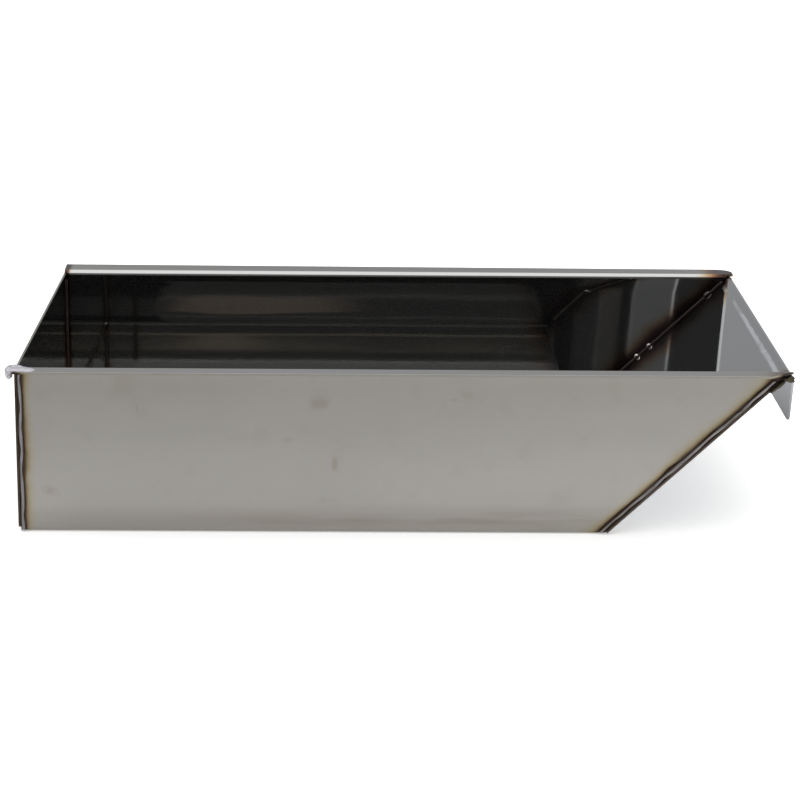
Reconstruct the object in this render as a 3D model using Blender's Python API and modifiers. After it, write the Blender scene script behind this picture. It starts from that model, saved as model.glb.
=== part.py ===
"""A welded stainless-steel developing tray with one upright end and one sloped end.

The floor, the two long walls and their outward rim flanges are one bent sheet. The upright end is a flat
plate. The sloped end is a plate whose top edge folds down into a hook. Weld runs and tacks join the three.

Metres, +Z up. The origin is under the middle of the tray, on the surface that it stands on. +X points to
the sloped end, and the front long wall is on the -Y side.
"""

import math

import bmesh
import bpy
from mathutils import Matrix, Vector

# Overall sizes
LENGTH = 0.400  # outer face of the upright end to the outer face of the hook
WIDTH = 0.229  # over the outer faces of the long walls
HEIGHT = 0.088  # standing surface to the top of the rim
FLOOR_LENGTH = 0.306  # outer face of the upright end to the foot of the slope
SHEET = 0.0012  # thickness of every blank
BEND = 0.0015  # inside radius of every bend
GAP = 0.0003  # clearance where two pieces meet

# Rim flanges, and the corners cut off them at the sloped end (length along X, depth along Y)
FLANGE = 0.0127
FRONT_CLIP = (0.0137, 0.0127)
REAR_CLIP = (0.0095, 0.0075)

# End plates and the hook
LEDGE = 0.0008  # how far an end plate stands out past the long walls
FOOT_CORNER = 0.0030
HOOK_DROP = 0.0246  # top of the fold to the hook's lower edge
HOOK_LEAN = math.radians(4.0)  # the fold goes this far past vertical
HOOK_CORNER = 0.0025

# Welds
BEAD_WIDTH = 0.0023
BEAD_HEIGHT = 0.0009
ROOT_RADIUS = 0.0005  # root beads: where the outside runs came through into the inner corners
TACK_RADIUS = 0.0011
TACK_LENGTH = 0.0015
REAR_TACKS = (0.42, 0.50, 0.88)  # share of the way up the slope
FRONT_TACKS = (0.30, 0.62)
CORNER_WELD_REACH = 0.0042  # the rim corner weld stands out this far past the upright end
CORNER_WELD_SIZE = (0.0150, 0.0130, 0.0070)
CORNER_WELD_PROUD = 0.0016  # its top above the rim
CORNER_WELD_INWARD = 0.0025  # its inner side past the wall's outer face

ARC_STEPS = 8

# Worked out from the sizes above
END_X = (CORNER_WELD_REACH - LENGTH) / 2
HOOK_X = END_X + LENGTH
FOOT_X = END_X + FLOOR_LENGTH
WALL_Y = WIDTH / 2
PLATE_HALF = WALL_Y + LEDGE
PLATE_TOP = HEIGHT - SHEET - GAP  # both end plates finish just under the rim flanges
OUTSIDE = BEND + SHEET
MIDDLE = BEND + SHEET / 2

FOLD_CENTRE = Vector((HOOK_X - OUTSIDE, 0.0, PLATE_TOP - OUTSIDE))
SLOPE_FOOT = Vector((FOOT_X, 0.0, 0.0))  # where the slope's underside would meet the standing surface
_rise = FOLD_CENTRE - SLOPE_FOOT
SLOPE = math.atan2(_rise.z, _rise.x) + math.asin(BEND / _rise.length)
UP_SLOPE = Vector((math.cos(SLOPE), 0.0, math.sin(SLOPE)))
OFF_SLOPE = Vector((-math.sin(SLOPE), 0.0, math.cos(SLOPE)))  # out of the slope's upper face
SLOPE_TOP = FOLD_CENTRE + OFF_SLOPE * OUTSIDE
SLOPE_START = SLOPE_FOOT + UP_SLOPE * (SHEET + GAP)
SLOPE_RUN = (SLOPE_TOP - SLOPE_START).dot(UP_SLOPE)

BARE_STEEL = (0.56, 0.55, 0.52)
POLISHED_STEEL = (0.62, 0.62, 0.61)
WELD_METAL = (0.50, 0.49, 0.48)
BRIGHT_WELD = (0.74, 0.72, 0.76)


def clear_scene():
    for obj in list(bpy.data.objects):
        bpy.data.objects.remove(obj, do_unlink=True)


def new_collection(name):
    made = bpy.data.collections.new(name)
    bpy.context.scene.collection.children.link(made)
    return made


def steel(name, colour, roughness):
    material = bpy.data.materials.new(name)
    material.use_nodes = True
    shader = material.node_tree.nodes["Principled BSDF"]
    shader.inputs["Base Color"].default_value = (*colour, 1.0)
    shader.inputs["Metallic"].default_value = 1.0
    shader.inputs["Roughness"].default_value = roughness
    return material


def object_from(name, bm, collection, colour=None, roughness=0.3):
    """Turns a bmesh into an object; with a colour it is a part, and without one it is a cutter."""
    mesh = bpy.data.meshes.new(name)
    bm.to_mesh(mesh)
    bm.free()
    obj = bpy.data.objects.new(name, mesh)
    collection.objects.link(obj)
    if colour is None:
        obj.hide_render = True
        obj.display_type = "WIRE"
    else:
        mesh.materials.append(steel(name, colour, roughness))
    return obj


def arc(centre, radius, start, end, steps=ARC_STEPS):
    """Points on a circle as (across, up) pairs, from one angle in degrees to the other."""
    points = []
    for step in range(steps + 1):
        angle = math.radians(start + (end - start) * step / steps)
        points.append((centre[0] + radius * math.cos(angle), centre[1] + radius * math.sin(angle)))
    return points


def strip(path, along):
    """An open surface: the path, a list of Vectors, swept along a vector."""
    bm = bmesh.new()
    verts = [bm.verts.new(point) for point in path]
    edges = [bm.edges.new(pair) for pair in zip(verts, verts[1:])]
    swept = bmesh.ops.extrude_edge_only(bm, edges=edges)["geom"]
    moved = [item for item in swept if isinstance(item, bmesh.types.BMVert)]
    bmesh.ops.translate(bm, verts=moved, vec=along)
    return bm


def prism(outline, along):
    """A solid: the closed outline, a list of Vectors in one plane, swept along a vector."""
    bm = bmesh.new()
    face = bm.faces.new([bm.verts.new(point) for point in outline])
    swept = bmesh.ops.extrude_face_region(bm, geom=[face])["geom"]
    moved = [item for item in swept if isinstance(item, bmesh.types.BMVert)]
    bmesh.ops.translate(bm, verts=moved, vec=along)
    bmesh.ops.recalc_face_normals(bm, faces=bm.faces)
    return bm


def mirror_across_y(obj):
    modifier = obj.modifiers.new("Mirror", "MIRROR")
    modifier.use_axis = (False, True, False)
    modifier.merge_threshold = 0.00001


def thicken(obj):
    modifier = obj.modifiers.new("Solidify", "SOLIDIFY")
    modifier.thickness = SHEET
    modifier.offset = 0.0
    modifier.use_even_offset = True


def round_corners(obj, vertices, radius, segments=5):
    """Rounds the flat corners of an open sheet, before it is thickened."""
    group = obj.vertex_groups.new(name="corners")
    group.add(vertices, 1.0, "REPLACE")
    modifier = obj.modifiers.new("Bevel", "BEVEL")
    modifier.affect = "VERTICES"
    modifier.limit_method = "VGROUP"
    modifier.vertex_group = group.name
    modifier.width = radius
    modifier.segments = segments


def cut(obj, cutter):
    modifier = obj.modifiers.new(cutter.name, "BOOLEAN")
    modifier.operation = "DIFFERENCE"
    modifier.solver = "EXACT"
    modifier.object = cutter


def shade_round(obj):
    obj.data.shade_smooth()
    obj.data.set_sharp_from_angle(angle=math.radians(35))


def body_channel(parts, cutters):
    """Floor, long walls and rim flanges: half the section, mirrored, thickened, then cut at both ends."""
    wall = WALL_Y - SHEET / 2
    section = [(0.0, SHEET / 2)]
    section += arc((wall - MIDDLE, SHEET / 2 + MIDDLE), MIDDLE, -90, 0)
    section += arc((wall + MIDDLE, HEIGHT - SHEET / 2 - MIDDLE), MIDDLE, 180, 90)
    section.append((WALL_Y + FLANGE, HEIGHT - SHEET / 2))
    path = [Vector((END_X, -across, up)) for across, up in section]
    obj = object_from("body_channel", strip(path, Vector((LENGTH, 0, 0))), parts, BARE_STEEL, 0.34)
    mirror_across_y(obj)
    thicken(obj)
    cut(obj, slope_cutter(cutters))
    cut(obj, upright_cutter(cutters))
    cut(obj, clip_cutter("front_clip_cutter", -1, FRONT_CLIP, cutters))
    cut(obj, clip_cutter("rear_clip_cutter", 1, REAR_CLIP, cutters))
    shade_round(obj)


def slope_cutter(cutters):
    """Takes the floor and walls back to the slope's upper face, and leaves the rim flanges over it."""
    face = SLOPE_START + OFF_SLOPE * (SHEET + GAP)
    reach = 0.02
    top = HEIGHT - SHEET
    outline = []
    for height in (-reach, top):
        outline.append(face + UP_SLOPE * ((height - face.z) / UP_SLOPE.z))
    outline.append(Vector((HOOK_X + reach, 0, top)))
    outline.append(Vector((HOOK_X + reach, 0, -reach)))
    half = WALL_Y + FLANGE + reach
    solid = prism([point - Vector((0, half, 0)) for point in outline], Vector((0, 2 * half, 0)))
    return object_from("slope_cutter", solid, cutters)


def upright_cutter(cutters):
    """Takes the floor and walls back to the upright plate's inner face, under the rim flanges."""
    reach = 0.02
    low = Vector((END_X - reach, -WALL_Y - FLANGE - reach, -reach))
    high = Vector((END_X + SHEET + GAP, WALL_Y + FLANGE + reach, HEIGHT - SHEET))
    bm = bmesh.new()
    bmesh.ops.create_cube(bm, size=1.0)
    size = high - low
    bmesh.ops.scale(bm, verts=bm.verts, vec=size)
    bmesh.ops.translate(bm, verts=bm.verts, vec=low + size / 2)
    return object_from("upright_cutter", bm, cutters)


def clip_cutter(name, side, clip, cutters):
    """Takes the outer corner off one rim flange at the sloped end."""
    edge = WALL_Y + FLANGE
    over = 0.4  # the triangle is drawn this much larger than the clip, so that it passes the edges
    along, deep = clip
    corners = (
        (HOOK_X - along * (1 + over), edge + deep * over),
        (HOOK_X + along * over, edge - deep * (1 + over)),
        (HOOK_X + along * over, edge + deep * over),
    )
    outline = [Vector((x, side * y, HEIGHT - 2 * OUTSIDE)) for x, y in corners]
    return object_from(name, prism(outline, Vector((0, 0, 4 * OUTSIDE))), cutters)


def upright_end_plate(parts):
    """A flat plate with rounded lower corners, standing on the floor weld."""
    low = SHEET + GAP
    bm = bmesh.new()
    bmesh.ops.create_grid(bm, x_segments=1, y_segments=1, size=0.5)
    bmesh.ops.scale(bm, verts=bm.verts, vec=(2 * PLATE_HALF, PLATE_TOP - low, 1))
    upright = Matrix.Rotation(math.radians(90), 4, "Z") @ Matrix.Rotation(math.radians(90), 4, "X")
    bmesh.ops.transform(bm, matrix=upright, verts=bm.verts)
    bmesh.ops.translate(bm, verts=bm.verts, vec=(END_X + SHEET / 2, 0, (PLATE_TOP + low) / 2))
    corners = [vert.index for vert in bm.verts if vert.co.z < HEIGHT / 2]
    obj = object_from("upright_end_plate", bm, parts, BARE_STEEL, 0.30)
    round_corners(obj, corners, FOOT_CORNER)
    thicken(obj)


def sloped_end_plate(parts):
    """The slope, the fold along its top and the hook: half the width, mirrored and thickened."""
    fold = (FOLD_CENTRE.x, FOLD_CENTRE.z)
    path = [SLOPE_START + OFF_SLOPE * SHEET / 2]
    lean = math.degrees(HOOK_LEAN)
    turn = arc(fold, MIDDLE, 90 + math.degrees(SLOPE), -lean, 2 * ARC_STEPS)
    path += [Vector((x, 0, z)) for x, z in turn]
    hook_length = (HOOK_DROP - OUTSIDE - MIDDLE * math.sin(HOOK_LEAN)) / math.cos(HOOK_LEAN)
    path.append(path[-1] - Vector((math.sin(HOOK_LEAN), 0, math.cos(HOOK_LEAN))) * hook_length)
    solid = strip(path, Vector((0, -PLATE_HALF, 0)))
    solid.verts.ensure_lookup_table()
    lowest = min(vert.co.z for vert in solid.verts if vert.co.x > FOLD_CENTRE.x)
    corners = []
    for vert in solid.verts:
        if vert.co.x > FOLD_CENTRE.x and vert.co.z < lowest + GAP and vert.co.y < -WALL_Y:
            corners.append(vert.index)
    obj = object_from("sloped_end_plate", solid, parts, POLISHED_STEEL, 0.16)
    round_corners(obj, corners, HOOK_CORNER)
    mirror_across_y(obj)
    thicken(obj)
    shade_round(obj)


def bead_section(width, height, steps=ARC_STEPS):
    """Half an ellipse, flat side down, as (across, up) pairs."""
    return [(x * width / 2, y * height) for x, y in arc((0, 0), 1.0, 0, 180, steps)]


def upright_corner_weld(name, side, parts):
    """A run up one long wall, beside the upright end plate."""
    centre = END_X + SHEET + GAP + BEAD_WIDTH / 2
    wall = WALL_Y + GAP
    start, end = OUTSIDE, HEIGHT - OUTSIDE - GAP
    outline = []
    for across, out in bead_section(BEAD_WIDTH, BEAD_HEIGHT):
        outline.append(Vector((centre + across, side * (wall + out), start)))
    weld_part(name, prism(outline, Vector((0, 0, end - start))), parts)


def slope_corner_weld(name, side, parts):
    """A run up the slanted edge of one long wall, beside the sloped end plate."""
    line = SLOPE_START + OFF_SLOPE * (SHEET + GAP + BEAD_WIDTH / 2)
    start = line + UP_SLOPE * OUTSIDE
    outline = []
    for across, out in bead_section(BEAD_WIDTH, BEAD_HEIGHT):
        outline.append(start + OFF_SLOPE * across + Vector((0, side * (WALL_Y + GAP + out), 0)))
    run = SLOPE_RUN - 3 * OUTSIDE
    weld_part(name, prism(outline, UP_SLOPE * run), parts)


def quarter_round(corner, one_way, other_way, radius, along):
    """A bar with a quarter-circle section, whose flat sides leave the corner in the two directions."""
    outline = [corner]
    for one, other in arc((0, 0), radius, 0, 90):
        outline.append(corner + one_way * one + other_way * other)
    return prism(outline, along)


def floor_weld(name, corner, toward_end, down, parts):
    """A run across the tray that fills the outer corner between the floor and an end plate."""
    half = Vector((0, WALL_Y - 2 * OUTSIDE, 0))
    weld_part(name, quarter_round(corner - half, toward_end, down, SHEET, half * 2), parts)


def upright_root_bead(name, side, parts):
    """A thin bead in the inner corner between one long wall and the upright end plate."""
    corner = Vector((END_X + SHEET + GAP, side * (WALL_Y - SHEET - GAP), 2 * OUTSIDE))
    along = Vector((0, 0, HEIGHT - 4 * OUTSIDE))
    inward = Vector((0, -side, 0))
    weld_part(name, quarter_round(corner, Vector((1, 0, 0)), inward, ROOT_RADIUS, along), parts)


def slope_root_bead(name, side, parts):
    """A thin bead in the inner corner between one long wall and the slope."""
    corner = SLOPE_START + OFF_SLOPE * (SHEET + GAP) + UP_SLOPE * 2 * OUTSIDE
    corner.y = side * (WALL_Y - SHEET - GAP)
    along = UP_SLOPE * (SLOPE_RUN - 3 * OUTSIDE)
    inward = Vector((0, -side, 0))
    weld_part(name, quarter_round(corner, OFF_SLOPE, inward, ROOT_RADIUS, along), parts)


def weld_part(name, solid, parts, colour=WELD_METAL):
    shade_round(object_from(name, solid, parts, colour, 0.38))


def dome(radii, place):
    """A rounded lump with its long axis along X before it is placed."""
    bm = bmesh.new()
    bmesh.ops.create_uvsphere(bm, u_segments=16, v_segments=10, radius=1.0)
    bmesh.ops.scale(bm, verts=bm.verts, vec=radii)
    bmesh.ops.transform(bm, matrix=place, verts=bm.verts)
    return bm


def tack_weld(name, side, share, parts):
    """A tack inside a slanted corner, clear of the wall, the slope and the root bead behind it."""
    clear = TACK_RADIUS + 2 * GAP
    spot = SLOPE_START + OFF_SLOPE * (SHEET + clear) + UP_SLOPE * SLOPE_RUN * share
    spot.y = side * (WALL_Y - SHEET - clear)
    place = Matrix.Translation(spot) @ Matrix.Rotation(-SLOPE, 4, "Y")
    weld_part(name, dome((TACK_LENGTH, TACK_RADIUS, TACK_RADIUS), place), parts, BRIGHT_WELD)


def hook_corner_weld(name, side, parts):
    """A short run under the tip of a rim flange, against the edge of the fold."""
    radii = (0.0028, 0.0008, 0.0011)
    spot = FOLD_CENTRE.copy()
    spot.y = side * (PLATE_HALF + GAP + radii[1])
    weld_part(name, dome(radii, Matrix.Translation(spot)), parts)


def rim_corner_weld(parts, cutters):
    """The build-up over the front flange's end at the upright end, cut clear of the sheets under it."""
    along, deep, high = CORNER_WELD_SIZE
    centre = Vector(
        (
            END_X - CORNER_WELD_REACH + along / 2,
            -WALL_Y + CORNER_WELD_INWARD - deep / 2,
            HEIGHT + CORNER_WELD_PROUD - high / 2,
        )
    )
    bm = bmesh.new()
    bmesh.ops.create_cube(bm, size=1.0)
    bmesh.ops.subdivide_edges(bm, edges=bm.edges, cuts=1, use_grid_fill=True)
    bmesh.ops.scale(bm, verts=bm.verts, vec=CORNER_WELD_SIZE)
    bmesh.ops.translate(bm, verts=bm.verts, vec=centre)
    obj = object_from("rim_corner_weld", bm, parts, BRIGHT_WELD, 0.45)
    modifier = obj.modifiers.new("Subdivision", "SUBSURF")
    modifier.levels = 2
    modifier.render_levels = 2
    cut(obj, rim_clearance_cutter(cutters))
    obj.data.shade_smooth()


def rim_clearance_cutter(cutters):
    """The space that the front flange, the wall and the end plate take, with the gap around them."""
    low = Vector((END_X - GAP, -WALL_Y - FLANGE - GAP, HEIGHT - 0.02))
    high = Vector((END_X + 0.04, -WALL_Y + 0.02, HEIGHT + GAP))
    bm = bmesh.new()
    bmesh.ops.create_cube(bm, size=1.0)
    bmesh.ops.scale(bm, verts=bm.verts, vec=high - low)
    bmesh.ops.translate(bm, verts=bm.verts, vec=(low + high) / 2)
    return object_from("rim_clearance_cutter", bm, cutters)


def main():
    clear_scene()
    parts = new_collection("developing_tray")
    cutters = new_collection("cutters")
    body_channel(parts, cutters)
    upright_end_plate(parts)
    sloped_end_plate(parts)
    for place, side in (("front", -1), ("rear", 1)):
        upright_corner_weld(f"upright_corner_weld_{place}", side, parts)
        slope_corner_weld(f"slope_corner_weld_{place}", side, parts)
        hook_corner_weld(f"hook_corner_weld_{place}", side, parts)
        upright_root_bead(f"upright_root_bead_{place}", side, parts)
        slope_root_bead(f"slope_root_bead_{place}", side, parts)
    upright_joint = Vector((END_X + SHEET, 0, SHEET))
    floor_weld("upright_floor_weld", upright_joint, Vector((-1, 0, 0)), Vector((0, 0, -1)), parts)
    slope_joint = SLOPE_FOOT + (UP_SLOPE + OFF_SLOPE) * SHEET
    floor_weld("slope_floor_weld", slope_joint, -OFF_SLOPE, -UP_SLOPE, parts)
    for place, side, shares in (("rear", 1, REAR_TACKS), ("front", -1, FRONT_TACKS)):
        for number, share in enumerate(shares, start=1):
            tack_weld(f"tack_weld_{place}_{number}", side, share, parts)
    rim_corner_weld(parts, cutters)


main()
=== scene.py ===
"""The looks of the welded stainless-steel developing tray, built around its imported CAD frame.

Metres, +Z up, in the frame's own coordinates. The three sheets are rebuilt with fine bends and slightly wavy
surfaces, and each weld as a rippled run or a lump. Every finish is a node network in object coordinates.
"""

import math
from collections import namedtuple

import bmesh
import bpy
from mathutils import Matrix, Vector, noise


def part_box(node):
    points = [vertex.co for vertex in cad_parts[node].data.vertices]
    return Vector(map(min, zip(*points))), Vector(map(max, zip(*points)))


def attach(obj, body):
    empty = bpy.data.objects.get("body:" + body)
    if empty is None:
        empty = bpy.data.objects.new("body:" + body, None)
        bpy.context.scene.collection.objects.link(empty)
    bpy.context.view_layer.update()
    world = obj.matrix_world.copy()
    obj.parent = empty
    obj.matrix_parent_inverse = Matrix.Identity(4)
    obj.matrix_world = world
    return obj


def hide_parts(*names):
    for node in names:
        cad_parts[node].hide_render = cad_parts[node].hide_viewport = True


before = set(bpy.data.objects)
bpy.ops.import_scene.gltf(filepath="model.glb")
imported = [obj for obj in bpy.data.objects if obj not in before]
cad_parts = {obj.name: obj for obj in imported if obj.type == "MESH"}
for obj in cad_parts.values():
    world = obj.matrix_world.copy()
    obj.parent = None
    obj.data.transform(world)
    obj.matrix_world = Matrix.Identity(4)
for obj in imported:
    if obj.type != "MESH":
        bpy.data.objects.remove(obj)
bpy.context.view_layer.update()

# Sheet-metal sizes
BEND = 0.0015  # inside radius at the rims and the fold
FLOOR_BEND = 0.0006  # inside radius along the floor
FLANGE = 0.0127
GAP = 0.0003  # what the CAD leaves between touching pieces; here they close up
FLOOR_LENGTH = 0.306  # outer face of the upright end to the foot of the slope
FRONT_CLIP = (0.0137, 0.0127)  # how far the front rim's corner is cut back, along the rim and across it
REAR_CLIP = (0.0095, 0.0075)
FOOT_CORNER = 0.0030  # radius of the upright end's lower corners
FOOT_DROP = 0.0011  # the slope's sheet reaches this much closer to the ground than its plain CAD plate
HOOK_CORNER = 0.0025  # radius of the hook's corners
HOOK_LEAN = math.radians(4.0)
HOOK_DROP = 0.0246  # from the end plates' top down to the hook's edge
EDGE_ROUND = 0.00022  # the broken edge of every sheet
MESH_STEP = 0.008  # about how far apart a sheet's points are where it is flat
RIM_STEP = 0.0015  # the same across a rim
WAVE = 0.00002  # how far the sheets stray from flat
WAVE_LENGTH = 0.085
WALL_SETTLE = 0.03  # the waves die out this close to a long wall's ends
PLATE_SETTLE = 0.02  # the same at the rims and around the end plates

# Taken from the frame
channel_low, channel_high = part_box("body_channel")
upright_low, upright_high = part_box("upright_end_plate")
END_X = channel_low.x
HOOK_X = channel_high.x
HEIGHT = channel_high.z
SHEET = upright_high.x - upright_low.x
WALL_Y = channel_high.y - FLANGE
PLATE_HALF = upright_high.y
PLATE_TOP = upright_high.z
PLATE_FOOT = upright_low.z
HOOK_LOW = PLATE_TOP - HOOK_DROP
OUTSIDE = BEND + SHEET
MIDDLE = BEND + SHEET / 2

FOOT = Vector((END_X + FLOOR_LENGTH, 0.0, 0.0))
FOLD = Vector((HOOK_X - OUTSIDE, 0.0, PLATE_TOP - OUTSIDE))
FOOT_TO_FOLD = FOLD - FOOT
SLOPE = math.atan2(FOOT_TO_FOLD.z, FOOT_TO_FOLD.x) + math.asin(BEND / FOOT_TO_FOLD.length)
UP_SLOPE = Vector((math.cos(SLOPE), 0.0, math.sin(SLOPE)))
OFF_SLOPE = Vector((-math.sin(SLOPE), 0.0, math.cos(SLOPE)))
PLATE_START = FOOT + UP_SLOPE * (SHEET + GAP)
SLOPE_FACE = PLATE_START + OFF_SLOPE * (SHEET + GAP)  # where the CAD's walls are cut back to
UPRIGHT_FACE = END_X + SHEET + GAP  # the same at the other end

X = Vector((1, 0, 0))
Y = Vector((0, 1, 0))
Z = Vector((0, 0, 1))


# ---------------------------------------------------------------- materials


def new_node(tree, kind, sockets, **settings):
    """A node with its settings made, and each of the given sockets set to a value or linked from another."""
    made = tree.nodes.new(kind)
    for name, value in settings.items():
        setattr(made, name, value)
    for key, value in sockets.items():
        if isinstance(value, bpy.types.NodeSocket):
            tree.links.new(value, made.inputs[key])
        else:
            made.inputs[key].default_value = value
    return made


def named_socket(sockets, identifier):
    """A Mix node has several sockets of each name, so they are told apart by their identifiers."""
    return next(socket for socket in sockets if socket.identifier == identifier)


class Look:
    """A material whose node network is put together by calls."""

    def __init__(self, name, metallic=1.0):
        self.material = bpy.data.materials.new(name)
        self.material.use_nodes = True
        self.tree = self.material.node_tree
        self.shader = self.tree.nodes["Principled BSDF"]
        self.shader.inputs["Metallic"].default_value = metallic
        self.place = self.node("ShaderNodeTexCoord", {}).outputs["Object"]

    def node(self, kind, sockets, **settings):
        return new_node(self.tree, kind, sockets, **settings)

    def maths(self, operation, first, second=0.0):
        return self.node("ShaderNodeMath", {0: first, 1: second}, operation=operation).outputs[0]

    def times(self, *factors):
        product = factors[0]
        for factor in factors[1:]:
            product = self.maths("MULTIPLY", product, factor)
        return product

    def along(self, direction):
        """How far a point lies along a direction."""
        made = self.node("ShaderNodeVectorMath", {0: self.place, 1: direction}, operation="DOT_PRODUCT")
        return made.outputs["Value"]

    def from_plane(self, direction, through):
        """Distance from a plane, on either side."""
        offset = self.maths("SUBTRACT", self.along(direction), direction.dot(through))
        return self.maths("ABSOLUTE", offset)

    def from_point(self, point):
        made = self.node("ShaderNodeVectorMath", {0: self.place, 1: point}, operation="DISTANCE")
        return made.outputs["Value"]

    def noise(self, size, detail=2.0, stretch=(1, 1, 1), seed=0.0):
        """Noise from 0 to 1 whose features are about one size across, stretched along the axes."""
        scaled = self.node(
            "ShaderNodeMapping",
            {"Vector": self.place, "Scale": [1 / s for s in stretch], "Location": (seed, seed * 0.7, 0)},
        )
        made = self.node(
            "ShaderNodeTexNoise",
            {"Vector": scaled.outputs[0], "Scale": 0.5 / size, "Detail": detail, "Roughness": 0.55},
        )
        return made.outputs["Fac"]

    def spread(self, value, low, high, into_low=0.0, into_high=1.0):
        """Maps the range from low to high to another, and holds its ends beyond."""
        made = self.node(
            "ShaderNodeMapRange",
            {"Value": value, "From Min": low, "From Max": high, "To Min": into_low, "To Max": into_high},
        )
        return made.outputs["Result"]

    def ramp(self, value, stops):
        """The colour at a value from 0 to 1, between (value, colour) stops."""
        made = self.node("ShaderNodeValToRGB", {"Fac": value})
        elements = made.color_ramp.elements
        while len(elements) < len(stops):
            elements.new(0.5)
        for element, (position, colour) in zip(elements, stops):
            element.position = position
            element.color = (*colour, 1.0)
        return made.outputs["Color"]

    def mix(self, share, first, second, blend="MIX"):
        made = self.node("ShaderNodeMix", {}, data_type="RGBA", blend_type=blend)
        for key, value in (("Factor_Float", share), ("A_Color", first), ("B_Color", second)):
            socket = named_socket(made.inputs, key)
            if isinstance(value, bpy.types.NodeSocket):
                self.tree.links.new(value, socket)
            else:
                socket.default_value = value if key == "Factor_Float" else (*value, 1.0)
        return named_socket(made.outputs, "Result_Color")

    def bump(self, height, distance):
        made = self.node("ShaderNodeBump", {"Height": height, "Distance": distance})
        self.tree.links.new(made.outputs["Normal"], self.shader.inputs["Normal"])

    def finish(self, colour, roughness):
        for key, value in (("Base Color", colour), ("Roughness", roughness)):
            self.tree.links.new(value, self.shader.inputs[key])
        return self.material


# Painted light and shade outside: what multiplies the steel's colour, at shares of the tray's height. Darker
# at the foot, lightest low down, darkest at the top
PAINTED_SHADING = (
    (0.00, (1.00, 0.985, 0.96)),
    (0.16, (1.15, 1.15, 1.14)),
    (0.30, (1.09, 1.09, 1.09)),
    (0.60, (0.93, 0.93, 0.93)),
    (1.00, (0.84, 0.83, 0.80)),
)
# The same painted shade on the hook: dark over its lower part, lighter at its top
HOOK_PAINTED_SHADING = (
    (0.00, (0.36, 0.36, 0.36)),
    (0.70, (0.36, 0.36, 0.36)),
    (0.85, (0.76, 0.76, 0.76)),
    (1.00, (1.12, 1.12, 1.15)),
)
TINT_REACH = 0.010  # how far from a weld's centre line the oxide shows, outside
INNER_REACH = 0.013  # the same inside, along the slope
NARROW_REACH = 0.0034  # and inside, along the upright end
# Share of the reach from a weld's centre line, and what the oxide there multiplies the steel's colour by
TINT = (
    (0.00, (0.16, 0.13, 0.11)),
    (0.15, (0.17, 0.13, 0.10)),
    (0.20, (0.36, 0.26, 0.17)),
    (0.26, (0.60, 0.48, 0.31)),
    (0.33, (0.80, 0.70, 0.50)),
    (0.44, (0.93, 0.88, 0.72)),
    (0.60, (0.99, 0.97, 0.91)),
    (0.85, (1.00, 1.00, 1.00)),
)
# The same in the polished inner corners, where the bands are wider and more purple
INNER_TINT = (
    (0.00, (0.14, 0.11, 0.12)),
    (0.12, (0.12, 0.09, 0.10)),
    (0.28, (0.20, 0.13, 0.13)),
    (0.40, (0.42, 0.27, 0.22)),
    (0.52, (0.70, 0.50, 0.38)),
    (0.70, (0.93, 0.82, 0.70)),
    (1.00, (1.00, 1.00, 1.00)),
)
TIP_REACH = 0.022
# The heat colours at shares of that distance from the tip of the rear rim
TIP_TINT = (
    (0.00, (0.10, 0.10, 0.16)),
    (0.34, (0.16, 0.13, 0.18)),
    (0.48, (0.34, 0.19, 0.16)),
    (0.62, (0.62, 0.40, 0.27)),
    (0.78, (0.92, 0.77, 0.55)),
    (1.00, (1.00, 1.00, 1.00)),
)


Seam = namedtuple("Seam", "direction through reach")  # a plane that a weld lies in, and how far its heat went


def past(look, plane):
    """How far past a plane, given as its direction and distance: 0 before it, 1 beyond the fold's radius."""
    direction, start = plane
    return look.spread(look.along(direction), start, start + OUTSIDE)


def tinted(look, colour, seams, stops=TINT, seed=0.0, clear=None):
    """The steel's colour with the oxide bands beside its welds, and none past the plane given as clear."""
    nearest = None
    for direction, through, reach in seams:
        distance = look.maths("DIVIDE", look.from_plane(direction, through), reach)
        nearest = distance if nearest is None else look.maths("MINIMUM", nearest, distance)
    wander = look.spread(look.noise(0.012, 3.0, seed=seed), 0.3, 0.7, 0.75, 1.45)
    share = look.times(nearest, wander)
    if clear:
        share = look.maths("ADD", share, past(look, clear))
    bands = look.ramp(share, stops)
    return look.mix(1.0, colour, bands, "MULTIPLY"), share


WARM_STEEL = (0.292, 0.282, 0.266)
GRIME_AND_SHADE = (0.74, 0.68, 0.60)  # what dirt, and the painted shade along the wall's foot, multiply the steel's colour by
ROLLED_GRAIN = 0.000004  # how deep the rolling grain is
# The streaky band of painted shade along the foot of the front wall
BAND_FOOT = (0.0025, 0.006)  # between these heights it sets in
BAND_TOP = (0.016, 0.007)  # above the second height it fades, until the first
BAND_RUN = (-0.17, -0.02)  # it grows from faint to full between these places along the wall


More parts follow.
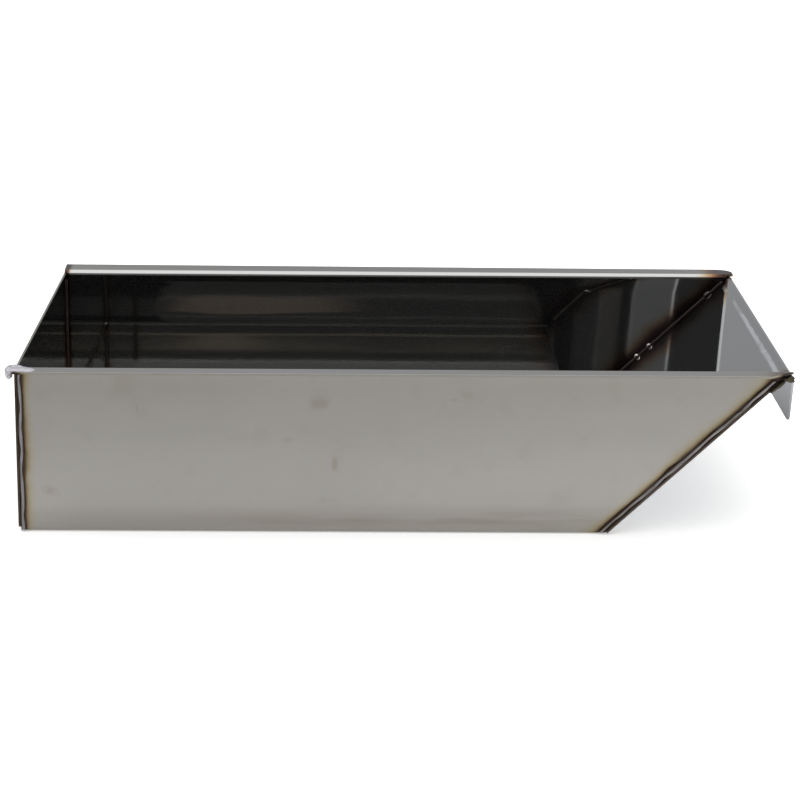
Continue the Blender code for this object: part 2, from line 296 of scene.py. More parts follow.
def satin_steel(name, seams, colour=WARM_STEEL, seed=0.0, clear=None, marks=()):
    """Mill finish outside: dull, cloudy, with fine rolling grain along the sheet and a few smudges, under
    painted light and shade.
    """
    look = Look(name)
    clouds = look.noise(0.024, 5.0, stretch=(1.5, 1, 1), seed=seed)
    grain = look.noise(0.0006, 2.0, stretch=(14, 1, 1), seed=seed + 3)
    spots = look.noise(0.007, 5.0, seed=seed + 9)
    base = look.ramp(clouds, ((0.30, [c * 0.95 for c in colour]), (0.70, [c * 1.05 for c in colour])))
    grime_and_shade = [c * k for c, k in zip(colour, GRIME_AND_SHADE)]
    stain_and_shade = look.spread(spots, 0.56, 0.70, 0.0, 0.13)
    if marks:
        stain_and_shade = look.maths("MAXIMUM", stain_and_shade, smudges(look, marks))
        # Painted shade: a streaky darker band along the wall's foot, in the colour of the dirt
        stain_and_shade = look.maths("MAXIMUM", stain_and_shade, foot_shade_band(look, seed + 11))
    base = look.mix(stain_and_shade, base, grime_and_shade)
    # Painted light and shade by height, with the hook's own table past the fold
    height = look.spread(look.along(Z), 0.0, HEIGHT)
    shade = look.ramp(height, PAINTED_SHADING)
    if clear:
        shade = look.mix(past(look, clear), shade, look.ramp(height, HOOK_PAINTED_SHADING))
    base = look.mix(1.0, base, shade, "MULTIPLY")
    # Painted light: darker towards the upright end, lighter towards the hook
    run = look.spread(look.along(X), END_X, HOOK_X, 0.91, 1.08)
    base = look.node("ShaderNodeVectorMath", {0: base, "Scale": run}, operation="SCALE").outputs["Vector"]
    base, _ = tinted(look, base, seams, seed=seed, clear=clear)
    rough = look.spread(clouds, 0.2, 0.8, 0.38, 0.44)
    rough = look.maths("ADD", rough, look.spread(grain, 0.0, 1.0, -0.02, 0.02))
    look.bump(grain, ROLLED_GRAIN)
    return look.finish(base, rough)


def foot_shade_band(look, seed):
    """How strong the streaky band of painted shade along the wall's foot is."""
    streaks = look.noise(0.0035, 4.0, stretch=(12, 1, 1), seed=seed)
    above = look.spread(look.along(Z), *BAND_FOOT)
    below = look.spread(look.along(Z), *BAND_TOP)
    length = look.spread(look.along(X), *BAND_RUN, 0.25, 1.0)
    return look.times(above, below, length, look.spread(streaks, 0.38, 0.66, 0.10, 0.66))


def smudges(look, marks):
    """How dirty the front wall is at each of a few marks, given as (x, z, half width, half height, depth)."""
    ragged = look.spread(look.noise(0.004, 4.0, seed=21.0), 0.3, 0.7, -0.5, 0.5)
    total = 0.0
    for x, z, wide, tall, depth in marks:
        across = look.maths("DIVIDE", look.maths("SUBTRACT", look.along(X), x), wide)
        up = look.maths("DIVIDE", look.maths("SUBTRACT", look.along(Z), z), tall)
        reach = look.maths("SQRT", look.maths("ADD", look.times(across, across), look.times(up, up)))
        mark = look.spread(look.maths("ADD", reach, ragged), 1.1, 0.2, 0.0, depth)
        total = look.maths("MAXIMUM", mark, total)
    front_only = look.spread(look.along(Y), -0.02, -0.04)
    return look.times(total, front_only)


POLISHED = (0.42, 0.42, 0.415)


def polished_steel(name, seams, colour=POLISHED, seed=0.0, clear=None, rubbed=False, folded=False):
    """Bright finish inside: near a mirror, with a little haze, faint wipe marks and a few scuffs."""
    look = Look(name, metallic=0.986)
    wipes = look.noise(0.020, 3.0, stretch=(2.5, 1, 1), seed=seed)
    scuffs = look.noise(0.0035, 3.0, stretch=(3, 3, 1), seed=seed + 5)
    base = look.ramp(wipes, ((0.30, [c * 0.97 for c in colour]), (0.70, colour)))
    base, share = tinted(look, base, seams, INNER_TINT, seed, clear)
    rough = look.spread(wipes, 0.25, 0.75, 0.022, 0.034)
    rough = look.maths("ADD", rough, look.spread(scuffs, 0.66, 0.78, 0.0, 0.06))
    rough = look.maths("ADD", rough, look.spread(share, 0.0, 0.5, 0.07, 0.0))
    if folded:
        base, rough = creased(look, base, rough)
    if rubbed:
        base, rough = rub_mark(look, base, rough)
    return look.finish(base, rough)


# Painted shade in the bends along the floor
CREASE_SHADE = (0.05, 0.047, 0.043)


def creased(look, base, rough):
    """Painted shade, near black, in the bends along the floor, which are duller there too; and blued by the
    heat at the rear rim's tip.
    """
    side = WALL_Y - SHEET - FLOOR_BEND
    beside = look.spread(look.maths("ABSOLUTE", look.along(Y)), side - 0.0003, side + 0.0001)
    low = look.spread(look.along(Z), SHEET + FLOOR_BEND + 0.0006, SHEET + FLOOR_BEND)
    crease_shade = look.times(beside, low)
    base = look.mix(crease_shade, base, CREASE_SHADE)
    rough = look.maths("ADD", rough, look.times(crease_shade, 0.40))
    tip = look.from_point(Vector((HOOK_X, WALL_Y + FLANGE, HEIGHT)))
    wander = look.spread(look.noise(0.004, 3.0, seed=17.0), 0.3, 0.7, 0.85, 1.15)
    heat = look.ramp(look.times(look.maths("DIVIDE", tip, TIP_REACH), wander), TIP_TINT)
    level = look.spread(look.along(Z), HEIGHT - OUTSIDE, HEIGHT - SHEET)
    return look.mix(level, base, look.mix(1.0, base, heat, "MULTIPLY")), rough


RUB_BREAK = 0.066  # the mark breaks off here, and is rougher between here and the rear wall
RUB_DOWN = 0.0031  # its middle, down the slope from where the fold starts
RUB_STEP = 0.0007  # how much further down, and how much wider, it is past the break
RUB_NARROW, RUB_WIDE = 0.0008, 0.0019  # its half width at the rear and at the front
RUB_COLOUR = (0.72, 0.74, 0.79)
RUB_END_COLOUR = (0.60, 0.60, 0.53)  # past the break


def rub_mark(look, base, rough):
    """The bright line that the press brake's edge left along the top of the slope."""
    edge = (FOLD + OFF_SLOPE * OUTSIDE).dot(UP_SLOPE)
    front = look.spread(look.along(Y), -WALL_Y, WALL_Y, 1.0, 0.0)
    wobble = look.spread(look.noise(0.010, 2.0), 0.3, 0.7, -0.0004, 0.0004)
    corner = look.spread(look.along(Y), RUB_BREAK - 0.002, RUB_BREAK + 0.004)
    middle = edge - RUB_DOWN
    centre = look.maths("ADD", wobble, look.spread(corner, 0.0, 1.0, middle, middle - RUB_STEP))
    off = look.maths("ABSOLUTE", look.maths("SUBTRACT", look.along(UP_SLOPE), centre))
    half = look.spread(front, 0.0, 1.0, RUB_NARROW, RUB_WIDE)
    half = look.maths("ADD", half, look.times(corner, RUB_STEP))
    band = look.spread(look.maths("DIVIDE", off, half), 0.55, 1.15, 1.0, 0.0)
    broken = look.spread(look.noise(0.004, 2.0, stretch=(1, 3, 1)), 0.34, 0.50, 0.55, 1.0)
    split = look.spread(look.from_plane(Y, Y * RUB_BREAK), 0.0008, 0.0030)
    ends = look.spread(look.maths("ABSOLUTE", look.along(Y)), WALL_Y - 0.005, WALL_Y - 0.010)
    flat = look.spread(look.from_plane(OFF_SLOPE, SLOPE_FACE), 0.0012, 0.0006)
    ragged = look.spread(look.noise(0.0035, 3.0, stretch=(1, 2, 1), seed=4.0), 0.40, 0.56, 0.0, 1.0)
    share = look.times(band, broken, split, ends, flat, look.mix(corner, (1, 1, 1), ragged))
    base = look.mix(share, base, look.mix(corner, RUB_COLOUR, RUB_END_COLOUR))
    return base, look.maths("ADD", rough, look.times(share, 0.30))


BEAD_HALF = 0.00115  # half the width of an outside bead
BURNT = (0.20, 0.14, 0.12)  # what multiplies a bead's colour along its edges


def weld_metal(name, colour, seams=(), seed=0.0, rough=(0.34, 0.46)):
    """Frozen weld pool: grey, darker and browner towards its edges where its seams are given."""
    look = Look(name)
    blotch = look.noise(0.003, 4.0, seed=seed)
    base = look.ramp(blotch, ((0.32, [c * 0.78 for c in colour]), (0.62, colour)))
    for seam in seams:
        off = look.maths("DIVIDE", look.from_plane(seam.direction, seam.through), BEAD_HALF)
        rim = look.spread(off, 0.35, 0.90)
        base = look.mix(rim, base, [c * k for c, k in zip(colour, BURNT)])
    fine = look.noise(0.0003, 2.0, seed=seed + 2)
    look.bump(fine, 0.00001)
    return look.finish(base, look.spread(blotch, 0.3, 0.7, *rough))


# ---------------------------------------------------------------- geometry


def linked(name, mesh, materials):
    """An object that rides on the tray, with smooth shading."""
    obj = bpy.data.objects.new(name, mesh)
    bpy.context.scene.collection.objects.link(obj)
    for material in materials:
        mesh.materials.append(material)
    mesh.shade_smooth()
    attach(obj, "root")
    return obj


def mesh_from(name, bm):
    mesh = bpy.data.meshes.new(name)
    bm.to_mesh(mesh)
    bm.free()
    return mesh


def sheet_metal(name, rows, node, materials):
    """A sheet through rows of middle-surface points, given its thickness and its broken edges."""
    bm = bmesh.new()
    lines = [[bm.verts.new(point) for point in row] for row in rows]
    for low, high in zip(lines, lines[1:]):
        for a, b, c, d in zip(low, low[1:], high[1:], high):
            bm.faces.new((a, b, c, d))
    obj = linked(name, mesh_from(name, bm), materials)
    thick = obj.modifiers.new("Thickness", "SOLIDIFY")
    thick.thickness = SHEET
    thick.offset = 0.0
    thick.use_even_offset = True
    thick.material_offset = 1
    thick.material_offset_rim = 1
    edge = obj.modifiers.new("Edge", "BEVEL")
    edge.limit_method = "ANGLE"
    edge.angle_limit = math.radians(50)
    edge.width = EDGE_ROUND
    edge.segments = 2
    edge.harden_normals = True
    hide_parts(node)


def spaced(start, end, step):
    """Evenly spaced numbers from start to end, about one step apart, both ends included."""
    count = max(1, round(abs(end - start) / step))
    return [start + (end - start) * i / count for i in range(count + 1)]


def arc(centre, radius, start, end, steps=10):
    """Points round a centre, from one angle to another in degrees."""
    points = []
    for angle in spaced(start, end, abs(end - start) / steps):
        turn = math.radians(angle)
        points.append((centre[0] + radius * math.cos(turn), centre[1] + radius * math.sin(turn)))
    return points


def run_of(start, end, step=MESH_STEP):
    """Points on a straight line between two (across, up) pairs."""
    length = math.dist(start, end)
    return [tuple(a + (b - a) * t / length for a, b in zip(start, end)) for t in spaced(0, length, step)]


def waviness(point, seed):
    """How far a sheet strays from flat at a point."""
    return noise.noise(point / WAVE_LENGTH + Vector((seed, seed * 1.7, -seed))) * 2 * WAVE


def channel_section():
    """The middle of the bent sheet from the front rim's edge to the rear rim's, as (across, up) pairs."""
    wall = WALL_Y - SHEET / 2
    rim = HEIGHT - SHEET / 2
    tight = FLOOR_BEND + SHEET / 2
    low = arc((wall - tight, SHEET / 2 + tight), tight, -90, 0)
    high = arc((wall + MIDDLE, rim - MIDDLE), MIDDLE, 180, 90)
    half = run_of((0.0, SHEET / 2), low[0]) + low[1:]
    half += run_of(low[-1], high[0])[1:] + high[1:]
    half += run_of(high[-1], (WALL_Y + FLANGE, rim), RIM_STEP)[1:]
    return [(-y, z) for y, z in reversed(half)] + half[1:]


def flange_end(y):
    """Where the rim stops at the hook end: its front corner is cut off straight and its rear one is round."""
    edge = WALL_Y + FLANGE
    along, deep = FRONT_CLIP if y < 0 else REAR_CLIP
    share = max(0.0, (abs(y) - (edge - deep)) / deep)
    if y > 0:
        share = 1 - math.sqrt(max(0.0, 1 - share * share))
    return HOOK_X - along * share


FRONT_LIFT = 0.0005
REAR_LIFT = (0.0010, 0.0002)  # at the upright end and at the hook


def rim_warp(x, y):
    """The rims aren't quite level: their outer edges stand a little high."""
    out = max(0.0, (abs(y) - WALL_Y) / FLANGE)
    share = (x - END_X) / (HOOK_X - END_X)
    first, last = REAR_LIFT
    lift = first + (last - first) * share if y > 0 else FRONT_LIFT
    return out * lift


STATIONS = 56  # steps along the body


def body_channel():
    rows = []
    rim = HEIGHT - SHEET
    for y, z in channel_section():
        if z > rim:
            start, end = END_X, flange_end(y)
        else:
            start = UPRIGHT_FACE - GAP
            face = SLOPE_FACE - OFF_SLOPE * GAP
            end = face.x + (z - face.z) * UP_SLOPE.x / UP_SLOPE.z
            # The floor's square end is pushed into the slope's sheet, so that its top edge closes the corner
            flatness = max(0.0, 1 - (z - SHEET / 2) / (FLOOR_BEND + SHEET / 2))
            end += flatness * SHEET / 2 * UP_SLOPE.x / UP_SLOPE.z
        row = []
        for x in spaced(start, end, (end - start) / STATIONS):
            point = Vector((x, y, z))
            depth = min(1.0, (x - start) / WALL_SETTLE, (end - x) / WALL_SETTLE)
            flat = min(1.0, max(0.0, (rim - z) / PLATE_SETTLE))
            wave = waviness(point, 2.0) * depth * flat
            if z < OUTSIDE:
                point.z += wave * (1 - abs(y) / WALL_Y)
            else:
                point.y += wave
            point.z += rim_warp(x, y)
            row.append(point)
        rows.append(row)
    materials = [FINISHES.wall_inside, FINISHES.wall_outside]
    sheet_metal("tray_body", rows, "body_channel", materials)


def upright_end():
    """The flat end plate, with rounded lower corners."""
    middle = (upright_low.x + upright_high.x) / 2
    rows = []
    corner = [FOOT_CORNER * (1 - math.cos(math.radians(a))) for a in range(0, 91, 10)]
    straight = PLATE_HALF - FOOT_CORNER
    ys = [-PLATE_HALF + c for c in corner]
    ys += spaced(-straight, straight, MESH_STEP)[1:-1]
    ys += [PLATE_HALF - c for c in reversed(corner)]
    for y in ys:
        inset = max(0.0, FOOT_CORNER - (PLATE_HALF - abs(y)))
        foot = PLATE_FOOT + FOOT_CORNER - math.sqrt(max(0.0, FOOT_CORNER**2 - inset**2))
        row = []
        for z in spaced(PLATE_TOP, foot, (PLATE_TOP - foot) / 12):
            point = Vector((middle, y, z))
            hold = min(1.0, (PLATE_HALF - abs(y)) / PLATE_SETTLE, (z - foot) / PLATE_SETTLE)
            point.x += waviness(point, 5.0) * hold
            row.append(point)
        rows.append(row)
    materials = [FINISHES.upright_inside, FINISHES.upright_outside]
    sheet_metal("upright_end", rows, "upright_end_plate", materials)


def sloped_end():
    """The slope, the fold at its top and the hook that hangs from it."""
    lean = math.degrees(HOOK_LEAN)
    start = PLATE_START - UP_SLOPE * FOOT_DROP + OFF_SLOPE * SHEET / 2
    fold = arc((FOLD.x, FOLD.z), MIDDLE, 90 + math.degrees(SLOPE), -lean, 24)
    path = run_of((start.x, start.z), fold[0]) + fold[1:]
    down = (-math.sin(HOOK_LEAN), -math.cos(HOOK_LEAN))
    length = (fold[-1][1] - HOOK_LOW) / math.cos(HOOK_LEAN)
    turns = [math.radians(a) for a in range(15, 91, 15)]
    drops = spaced(0.0, length - HOOK_CORNER, 0.006)[1:]
    drops += [length - HOOK_CORNER * (1 - math.sin(turn)) for turn in turns]
    path += [(fold[-1][0] + down[0] * d, fold[-1][1] + down[1] * d) for d in drops]
    insets = [0.0] * (len(path) - len(turns))
    insets += [HOOK_CORNER * (1 - math.cos(turn)) for turn in turns]
    rows = []
    for (x, z), inset in zip(path, insets):
        half = PLATE_HALF - inset
        row = []
        for y in spaced(half, -half, half / 15):
            point = Vector((x, y, z))
            along = (point - start).dot(UP_SLOPE)
            hold = min(1.0, (half - abs(y)) / PLATE_SETTLE, max(0.0, along / PLATE_SETTLE))
            hold *= min(1.0, max(0.0, (fold[0][1] - z) / PLATE_SETTLE)) if x < FOLD.x else 0.0
            row.append(point + OFF_SLOPE * waviness(point, 8.0) * hold)
        rows.append(row)
    materials = [FINISHES.slope_inside, FINISHES.slope_outside]
    sheet_metal("sloped_end", rows, "sloped_end_plate", materials)


Run = namedtuple("Run", "start along length across out width height seed bent swells", defaults=(False, ()))
GROUND = 0.00004  # no weld reaches lower
RIPPLE = 0.0009  # distance from one frozen ripple to the next
WELD_STEP = 0.00022  # distance from one ring of a weld's mesh to the next
RING_STEPS = 10


def ripple(s, x, seed):
    """The height of a weld's surface: crescents, whose backs lag at the edges, of uneven depth."""
    lag = s + 0.45 * RIPPLE * 2 * x * x
    phase = lag / RIPPLE + 0.5 * noise.noise(Vector((lag / 0.004, seed, 3.0)))
    depth = 0.16 + 0.10 * noise.noise(Vector((s / 0.006, seed, 7.0)))
    return 1 - depth * (1 - abs(math.sin(math.pi * phase)))


def round_bend(point, out):
    """Where a point outside a wall goes as the wall bends in under the floor, and which way is out there."""
    bend = FLOOR_BEND + SHEET
    drop = min(1.0, max(0.0, (bend - point.z) / bend))
    level = math.sqrt(1 - drop * drop)
    moved = point - out * bend * (1 - level)
    return moved, out * level - Z * drop


def weld_run(name, run, material, quarter=False):
    """A rippled bead along a straight line: half an ellipse, or a quarter round in an inner corner."""
    bm = bmesh.new()
    rings = []
    for s in spaced(0.0, run.length, WELD_STEP):
        end = min(s, run.length - s) / (run.width * 0.6)
        taper = math.sqrt(max(0.02, 1 - max(0.0, 1 - end) ** 2))
        swollen = 1 + sum(big * math.exp(-(((s - place) / wide) ** 2)) for place, wide, big in run.swells)
        breadth = run.width * (1 + 0.34 * noise.noise(Vector((s / 0.006, run.seed, 0)))) * taper * swollen
        rise = run.height * (1 + 0.24 * noise.noise(Vector((s / 0.005, run.seed, 5)))) * taper * swollen
        drift = 0.55 * run.width * noise.noise(Vector((s / 0.012, run.seed, 9)))
        base = run.start + run.along * s + run.across * (0 if quarter else drift)
        outward = run.out
        if run.bent:
            base, outward = round_bend(base, outward)
        ring = []
        for step in range(RING_STEPS + 1):
            if quarter:
                angle = math.pi / 2 * step / RING_STEPS
                across, out = math.cos(angle) * breadth, math.sin(angle) * rise
                place = abs(step / RING_STEPS * 2 - 1)
            else:
                angle = math.pi * step / RING_STEPS
                across, out = math.cos(angle) * breadth / 2, math.sin(angle) * rise
                place = abs(math.cos(angle))
            swell = ripple(s, place, run.seed)
            point = base + run.across * across * swell + outward * out * swell
            point.z = max(point.z, GROUND)
            ring.append(bm.verts.new(point))
        if quarter:
            ring.append(bm.verts.new(base))
        rings.append(ring)
    for one, other in zip(rings, rings[1:]):
        for i, vert in enumerate(one):
            j = (i + 1) % len(one)
            bm.faces.new((vert, one[j], other[j], other[i]))
    bm.faces.new(rings[0])
    bm.faces.new(rings[-1])
    bmesh.ops.recalc_face_normals(bm, faces=bm.faces)
    obj = linked(name, mesh_from(name, bm), [material])
    obj.data.set_sharp_from_angle(angle=math.radians(60))
    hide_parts(name)


BEAD_START = 0.0005  # how high the outside beads begin
# Where the slanted beads bulge: distance up the bead, reach and extra size
SLOPE_SWELLS = ((0.051, 0.0045, 0.70), (0.016, 0.0030, 0.25), (0.087, 0.0030, 0.25))


def slanted_run(node, side, width, height, seed):
    """A weld that runs up the slope, from its CAD box."""
    low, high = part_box(node)
    length = (high.z - low.z - width * UP_SLOPE.x) / UP_SLOPE.z
    centre = (low + high) / 2
    start = centre - UP_SLOPE * length / 2
    start.y = low.y if side > 0 else high.y
    further = (start.z - BEAD_START) / UP_SLOPE.z
    start -= UP_SLOPE * further
    length += further
    return Run(start, UP_SLOPE, length, OFF_SLOPE, Y * side, width, height, seed, True, SLOPE_SWELLS)


def outside_welds():
    """The beads up the four outside corners."""
    for number, (place, side) in enumerate((("front", -1), ("rear", 1))):
        node = f"upright_corner_weld_{place}"
        low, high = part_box(node)
        start = Vector(((low.x + high.x) / 2, low.y if side > 0 else high.y, BEAD_START))
        width = high.x - low.x
        height = high.y - low.y
        run = Run(start, Z, high.z - BEAD_START, X, Y * side, width, height, 1.3 + number, True)
        weld_run(node, run, FINISHES.upright_bead)
        node = f"slope_corner_weld_{place}"
        run = slanted_run(node, side, width, height, 4.3 + number)
        weld_run(node, run, FINISHES.slope_bead)


def floor_welds():
    """The runs across the underside, each a quarter round in the corner under an end plate's foot."""
    low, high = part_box("upright_floor_weld")
    size = high - low
    start = Vector((high.x, low.y, high.z))
    run = Run(start, Y, size.y, -X, -Z, size.x, size.z, 8.1)
    weld_run("upright_floor_weld", run, FINISHES.floor_bead, quarter=True)
    low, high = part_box("slope_floor_weld")
    radius = SHEET * 0.95
    start = FOOT + (UP_SLOPE + OFF_SLOPE) * radius
    start.y = low.y
    run = Run(start, Y, high.y - low.y, -OFF_SLOPE, -UP_SLOPE, radius, radius, 9.4)
    weld_run("slope_floor_weld", run, FINISHES.floor_bead, quarter=True)


def root_welds():
    """The thin runs in the inner corners."""
    for number, (place, side) in enumerate((("front", -1), ("rear", 1))):
        node = f"upright_root_bead_{place}"
        low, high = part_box(node)
        size = high - low
        start = Vector((low.x - GAP, high.y if side > 0 else low.y, low.z))
        start.y += side * GAP
        run = Run(start, Z, size.z, X, -Y * side, size.x + GAP, size.y + GAP, 12.0 + number)
        weld_run(node, run, FINISHES.root_bead, quarter=True)
        node = f"slope_root_bead_{place}"
        low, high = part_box(node)
        radius = high.y - low.y
        length = (high.z - low.z - radius * UP_SLOPE.x) / UP_SLOPE.z
        start = SLOPE_FACE + UP_SLOPE * ((low.z - SLOPE_FACE.z) / UP_SLOPE.z)
        start.y = (high.y if side > 0 else low.y) + side * GAP
        start -= OFF_SLOPE * GAP
        run = Run(start, UP_SLOPE, length, OFF_SLOPE, -Y * side, radius + GAP, radius + GAP, 14.0 + number)
        weld_run(node, run, FINISHES.root_bead, quarter=True)


def lump(name, blobs, material, voxel, seed, rough=0.10):
    """Overlapping blobs fused into one uneven skin. Each blob is a centre, its radii and its turn about Y."""
    bm = bmesh.new()
    for centre, radii, turn in blobs:
        place = Matrix.Translation(centre) @ Matrix.Rotation(turn, 4, "Y") @ Matrix.Diagonal((*radii, 1))
        made = bmesh.ops.create_icosphere(bm, subdivisions=4, radius=1.0, matrix=place)
        size = min(radii)
        for vert in made["verts"]:
            out = (vert.co - centre).normalized()
            vert.co += out * size * rough * noise.noise(vert.co / (size * 1.3) + Vector((seed, 0, 0))) * 2
    obj = linked(name, mesh_from(name, bm), [material])
    fuse = obj.modifiers.new("Fuse", "REMESH")
    fuse.mode = "VOXEL"
    fuse.voxel_size = voxel
    fuse.use_smooth_shade = True
    ease = obj.modifiers.new("Ease", "SMOOTH")
    ease.iterations = 3
    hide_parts(name)


def tacks():
    """Bright drops of filler on the slanted inner corners."""
    for place, count in (("rear", 3), ("front", 2)):
        for number in range(1, count + 1):
            name = f"tack_weld_{place}_{number}"
            low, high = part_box(name)
            radius = (high.y - low.y) / 2
            centre = (low + high) / 2 - OFF_SLOPE * radius * 0.75
            centre.y += math.copysign(radius * 0.75, centre.y)
            last = (place, number) == ("rear", 3)
            length = 2.1 if last else 1.15
            blobs = [
                (centre, (radius * length, radius * 0.92, radius * 0.95), -SLOPE),
                (centre + UP_SLOPE * radius * 0.7, (radius * 0.7,) * 3, 0.0),
                (centre - UP_SLOPE * radius * 0.6 - OFF_SLOPE * radius * 0.3, (radius * 0.6,) * 3, 0.0),
            ]
            material = FINISHES.dull_tack if last else FINISHES.tack
            lump(name, blobs, material, voxel=0.00012, seed=number * 2.7 + radius)


def hook_corner_welds():
    """The build-ups where the slanted beads run out over the fold."""
    for place, side in (("front", -1), ("rear", 1)):
        name = f"hook_corner_weld_{place}"
        low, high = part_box(name)
        centre = (low + high) / 2
        size = (high - low) / 2
        blobs = [
            (centre, size * 1.05, 0.25),
            (centre + Vector((-0.0044, 0, -0.0024)), Vector((0.0036, size.y * 1.2, 0.0011)), -SLOPE),
            (centre + Vector((-0.0075, 0, -0.0050)), Vector((0.0030, size.y * 1.1, 0.0008)), -SLOPE),
            (centre + Vector((0.0006, 0, 0.0010)), Vector((0.0021, size.y * 1.2, 0.0011)), 0.0),
        ]
        lump(name, blobs, FINISHES.corner_weld, voxel=0.00014, seed=3.0 + side)


def rim_corner_weld():
    """The pale, lumpy build-up over the corner where the front rim meets the upright end."""

    def at(x, y, z):
        return Vector((END_X + x, y - WALL_Y, HEIGHT + z))

    blobs = [
        (at(0.0035, -0.0065, 0.0000), (0.0068, 0.0042, 0.0015), 0.0),
        (at(-0.0012, -0.0050, -0.0004), (0.0028, 0.0046, 0.0020), 0.15),
        (at(-0.0020, -0.0062, -0.0026), (0.0017, 0.0024, 0.0024), -0.2),
        (at(0.0080, -0.0075, 0.0000), (0.0036, 0.0036, 0.0012), 0.0),
        (at(0.0010, -0.0015, 0.0001), (0.0042, 0.0030, 0.0013), 0.1),
        (at(-0.0024, -0.0085, -0.0012), (0.0013, 0.0015, 0.0016), 0.0),
    ]
    lump("rim_corner_weld", blobs, FINISHES.rim_weld, voxel=0.0003, seed=6.0, rough=0.16)


# ---------------------------------------------------------------- the tray

COOL_STEEL = (0.415, 0.425, 0.445)
# Smudges on the front wall: x, z, half width, half height, depth
MARKS = (
    (-0.1354, 0.0660, 0.0009, 0.0030, 0.40),
    (-0.1420, 0.0780, 0.0120, 0.0100, 0.22),
    (-0.0415, 0.0698, 0.0060, 0.0040, 0.45),
    (-0.0569, 0.0499, 0.0050, 0.0018, 0.35),
    (-0.0337, 0.0365, 0.0020, 0.0045, 0.55),
    (0.0279, 0.0718, 0.0030, 0.0008, 0.40),
    (0.0360, 0.0740, 0.0070, 0.0050, 0.25),
    (-0.1812, 0.0222, 0.0045, 0.0032, 0.45),
    (-0.0388, 0.0175, 0.0060, 0.0030, 0.30),
)

Finishes = namedtuple(
    "Finishes",
    "wall_inside wall_outside upright_inside upright_outside slope_inside slope_outside"
    " upright_bead slope_bead floor_bead root_bead tack dull_tack corner_weld rim_weld",
)

bead_low, bead_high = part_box("upright_corner_weld_front")
UPRIGHT_SEAM = Seam(X, (bead_low + bead_high) / 2, TINT_REACH)
bead_low, bead_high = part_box("slope_corner_weld_front")
SLOPE_SEAM = Seam(OFF_SLOPE, (bead_low + bead_high) / 2, TINT_REACH)
INNER_UPRIGHT = Seam(X, Vector((UPRIGHT_FACE, 0, 0)), NARROW_REACH)
INNER_SLOPE = Seam(OFF_SLOPE, SLOPE_FACE, INNER_REACH)
# The direction and distance of the plane past which the hook is away from the heat
PAST_FOLD = (-OFF_SLOPE, SHEET * 1.5 - OFF_SLOPE.dot(SLOPE_FACE))


def sides(reach, inset=0.0):
    """The seams along both walls."""
    return [Seam(Y, Vector((0, side * (WALL_Y - inset), 0)), reach) for side in (-1, 1)]


INNER_SIDES = sides(INNER_REACH, SHEET)
OUTER_SIDES = sides(TINT_REACH)
FINISHES = Finishes(
    wall_inside=polished_steel("wall_inside", [INNER_UPRIGHT, INNER_SLOPE], seed=1.0, folded=True),
    wall_outside=satin_steel("wall_outside", [UPRIGHT_SEAM, SLOPE_SEAM], seed=2.0, marks=MARKS),
    upright_inside=polished_steel("upright_inside", sides(NARROW_REACH, SHEET), seed=3.0),
    upright_outside=satin_steel("upright_outside", OUTER_SIDES, seed=4.0),
    slope_inside=polished_steel("slope_inside", INNER_SIDES, COOL_STEEL, 5.0, PAST_FOLD, rubbed=True),
    slope_outside=satin_steel("slope_outside", OUTER_SIDES, COOL_STEEL, 6.0, PAST_FOLD),
    upright_bead=weld_metal("upright_bead", (0.23, 0.225, 0.23), [UPRIGHT_SEAM], seed=1.0),
    slope_bead=weld_metal("slope_bead", (0.24, 0.225, 0.22), [SLOPE_SEAM], seed=2.0),
    floor_bead=weld_metal("floor_bead", (0.20, 0.185, 0.175), seed=3.0),
    root_bead=weld_metal("root_bead", (0.070, 0.054, 0.050), seed=4.0),
    tack=weld_metal("tack", (0.74, 0.72, 0.72), seed=5.0, rough=(0.22, 0.34)),
    dull_tack=weld_metal("dull_tack", (0.15, 0.135, 0.135), seed=8.0),
    corner_weld=weld_metal("corner_weld", (0.075, 0.066, 0.046), seed=6.0),
    rim_weld=weld_metal("rim_weld", (0.50, 0.49, 0.53), seed=7.0, rough=(0.48, 0.60)),
)

body_channel()
upright_end()
sloped_end()
outside_welds()
floor_welds()
root_welds()
tacks()
hook_corner_welds()
rim_corner_weld()


# ---------------------------------------------------------------- studio


FLOOR_SIZE = 12.0
FLOOR_AT = Vector((0, 1.0, -0.0004))  # a hair under the tray
FLOOR_GLOW = 0.38


def studio_floor():
    """A large pale floor that the tray stands on."""
    bm = bmesh.new()
    bmesh.ops.create_grid(bm, x_segments=8, y_segments=8, size=FLOOR_SIZE)
    floor = bpy.data.objects.new("studio_floor", mesh_from("studio_floor", bm))
    floor.location = FLOOR_AT
    bpy.context.scene.collection.objects.link(floor)
    look = Look("studio_floor", metallic=0.0)
    paper = look.noise(0.002, 2.0)
    base = look.ramp(paper, ((0.0, (0.90, 0.90, 0.90)), (1.0, (0.92, 0.92, 0.92))))
    floor.data.materials.append(look.finish(base, look.spread(paper, 0, 1, 0.8, 0.9)))
    look.shader.inputs["Emission Color"].default_value = (1, 1, 1, 1)
    look.shader.inputs["Emission Strength"].default_value = FLOOR_GLOW


BEHIND = 0.42  # brightness of the room behind the tray
OVERHEAD = 1.7  # and straight above it
DARK = 0.045  # and on the camera's side
DOORWAY = 0.17  # but straight behind the camera it is a little lighter
EDGE = 0.0008  # how softly a light surface ends at its bottom and top
# A light surface on the camera's side of the room. Its heights are sines of the elevation. The rest is how
# far to the side: the centre and the half width at its lowest, and how much each changes with height.
Patch = namedtuple("Patch", "low high centre drift half growth glow")
PATCHES = (
    Patch(0.2120, 0.2335, -0.0475, 0.45, 0.0080, 1.55, (0.90, 0.73, 0.60)),
    Patch(0.2385, 0.2462, -0.0527, 0.00, 0.0025, 2.50, (0.95, 0.78, 0.63)),
    Patch(0.2464, 0.2560, 0.0000, 0.00, 0.1250, 0.00, (0.85, 0.76, 0.61)),
    Patch(0.0800, 0.1150, -0.2500, 0.00, 0.0600, 0.00, (0.40, 0.38, 0.34)),
)


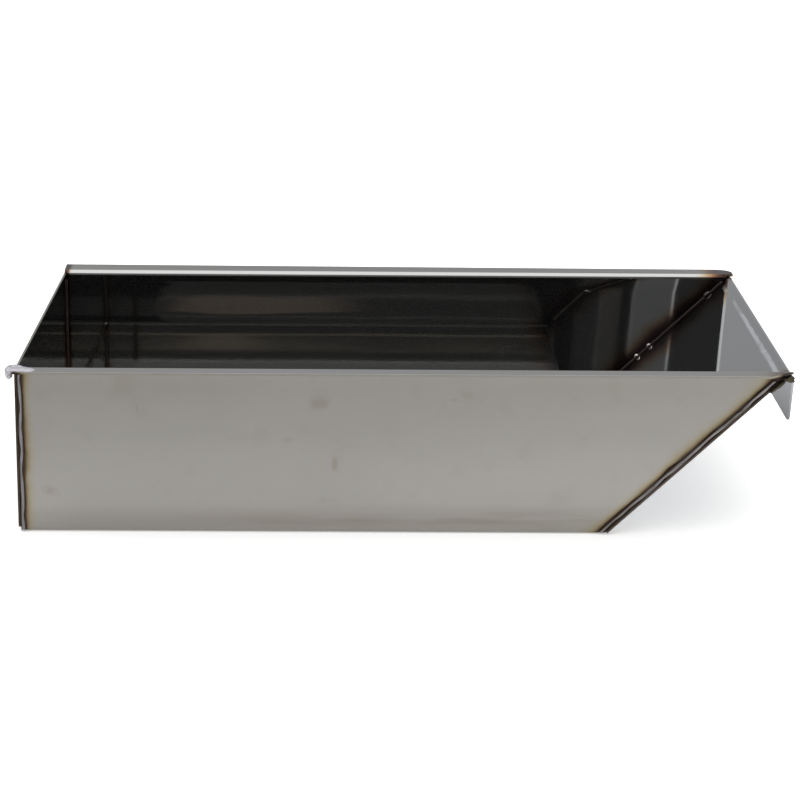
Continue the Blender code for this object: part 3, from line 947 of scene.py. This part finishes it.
def studio_world():
    """Soft light from above, grey behind the tray, and a dark room with a few light surfaces in front."""
    world = bpy.data.worlds.new("studio")
    world.use_nodes = True
    bpy.context.scene.world = world
    tree = world.node_tree
    background = tree.nodes["Background"]

    coordinates = new_node(tree, "ShaderNodeTexCoord", {}).outputs["Generated"]
    side, back, up = new_node(tree, "ShaderNodeSeparateXYZ", {0: coordinates}).outputs

    def step(value, low, high, into_low=0.0, into_high=1.0):
        sockets = {0: value, 1: low, 2: high, 3: into_low, 4: into_high}
        return new_node(tree, "ShaderNodeMapRange", sockets, interpolation_type="SMOOTHSTEP").outputs[0]

    def math_node(operation, first, second=0.0):
        return new_node(tree, "ShaderNodeMath", {0: first, 1: second}, operation=operation).outputs[0]

    def times(first, second):
        return math_node("MULTIPLY", first, second)

    def mixed(share, first, second):
        made = new_node(tree, "ShaderNodeMix", {}, data_type="VECTOR")
        tree.links.new(share, named_socket(made.inputs, "Factor_Float"))
        tree.links.new(first, named_socket(made.inputs, "A_Vector"))
        named_socket(made.inputs, "B_Vector").default_value = second
        return named_socket(made.outputs, "Result_Vector")

    sky = step(up, 0.30, 0.85, BEHIND, OVERHEAD)
    dark = times(step(back, 0.05, -0.45), step(up, 0.75, 0.45))
    aside = math_node("ABSOLUTE", math_node("DIVIDE", side, back))
    dark = times(dark, step(aside, 0.75, 0.45))
    room = step(aside, 0.108, 0.128, DOORWAY, DARK)
    level = step(dark, 0.0, 1.0, sky, room)
    colour = new_node(tree, "ShaderNodeCombineXYZ", {0: level, 1: level, 2: level}).outputs[0]
    camera_side = step(back, -0.5, -0.6)
    for patch in PATCHES:
        above = math_node("SUBTRACT", up, patch.low)
        middle = math_node("ADD", times(above, patch.drift), patch.centre)
        width = math_node("ADD", times(above, patch.growth), patch.half)
        off = math_node("DIVIDE", math_node("ABSOLUTE", math_node("SUBTRACT", side, middle)), width)
        from_bottom = step(up, patch.low - EDGE, patch.low)
        to_top = step(up, patch.high + EDGE, patch.high)
        share = times(times(step(off, 1.10, 0.90), times(from_bottom, to_top)), camera_side)
        colour = mixed(share, colour, patch.glow)
    tree.links.new(colour, background.inputs["Color"])
    background.inputs["Strength"].default_value = 1.0


CAMERA_AT = Vector((-0.02041, -1.38997, 0.42107))
CAMERA_PITCH = 0.2674  # downward, in radians
CAMERA_YAW = 0.0157  # to the right
CAMERA_ROLL = 0.0099
CAMERA_LENS = 115.82  # in millimetres


def camera():
    """The photo's point of view."""
    ahead = Vector(
        (
            math.sin(CAMERA_YAW) * math.cos(CAMERA_PITCH),
            math.cos(CAMERA_YAW) * math.cos(CAMERA_PITCH),
            -math.sin(CAMERA_PITCH),
        )
    )
    right = Vector((math.cos(CAMERA_YAW), -math.sin(CAMERA_YAW), 0))
    upward = right.cross(ahead)
    turned = math.cos(CAMERA_ROLL) * right + math.sin(CAMERA_ROLL) * upward
    upward = math.cos(CAMERA_ROLL) * upward - math.sin(CAMERA_ROLL) * right
    made = bpy.data.cameras.new("camera")
    made.lens = CAMERA_LENS
    obj = bpy.data.objects.new("camera", made)
    axes = Matrix((turned, upward, -ahead)).transposed().to_4x4()
    obj.matrix_world = Matrix.Translation(CAMERA_AT) @ axes
    bpy.context.scene.collection.objects.link(obj)
    bpy.context.scene.camera = obj


studio_floor()
studio_world()
camera()
bpy.context.scene.view_settings.view_transform = "Standard"
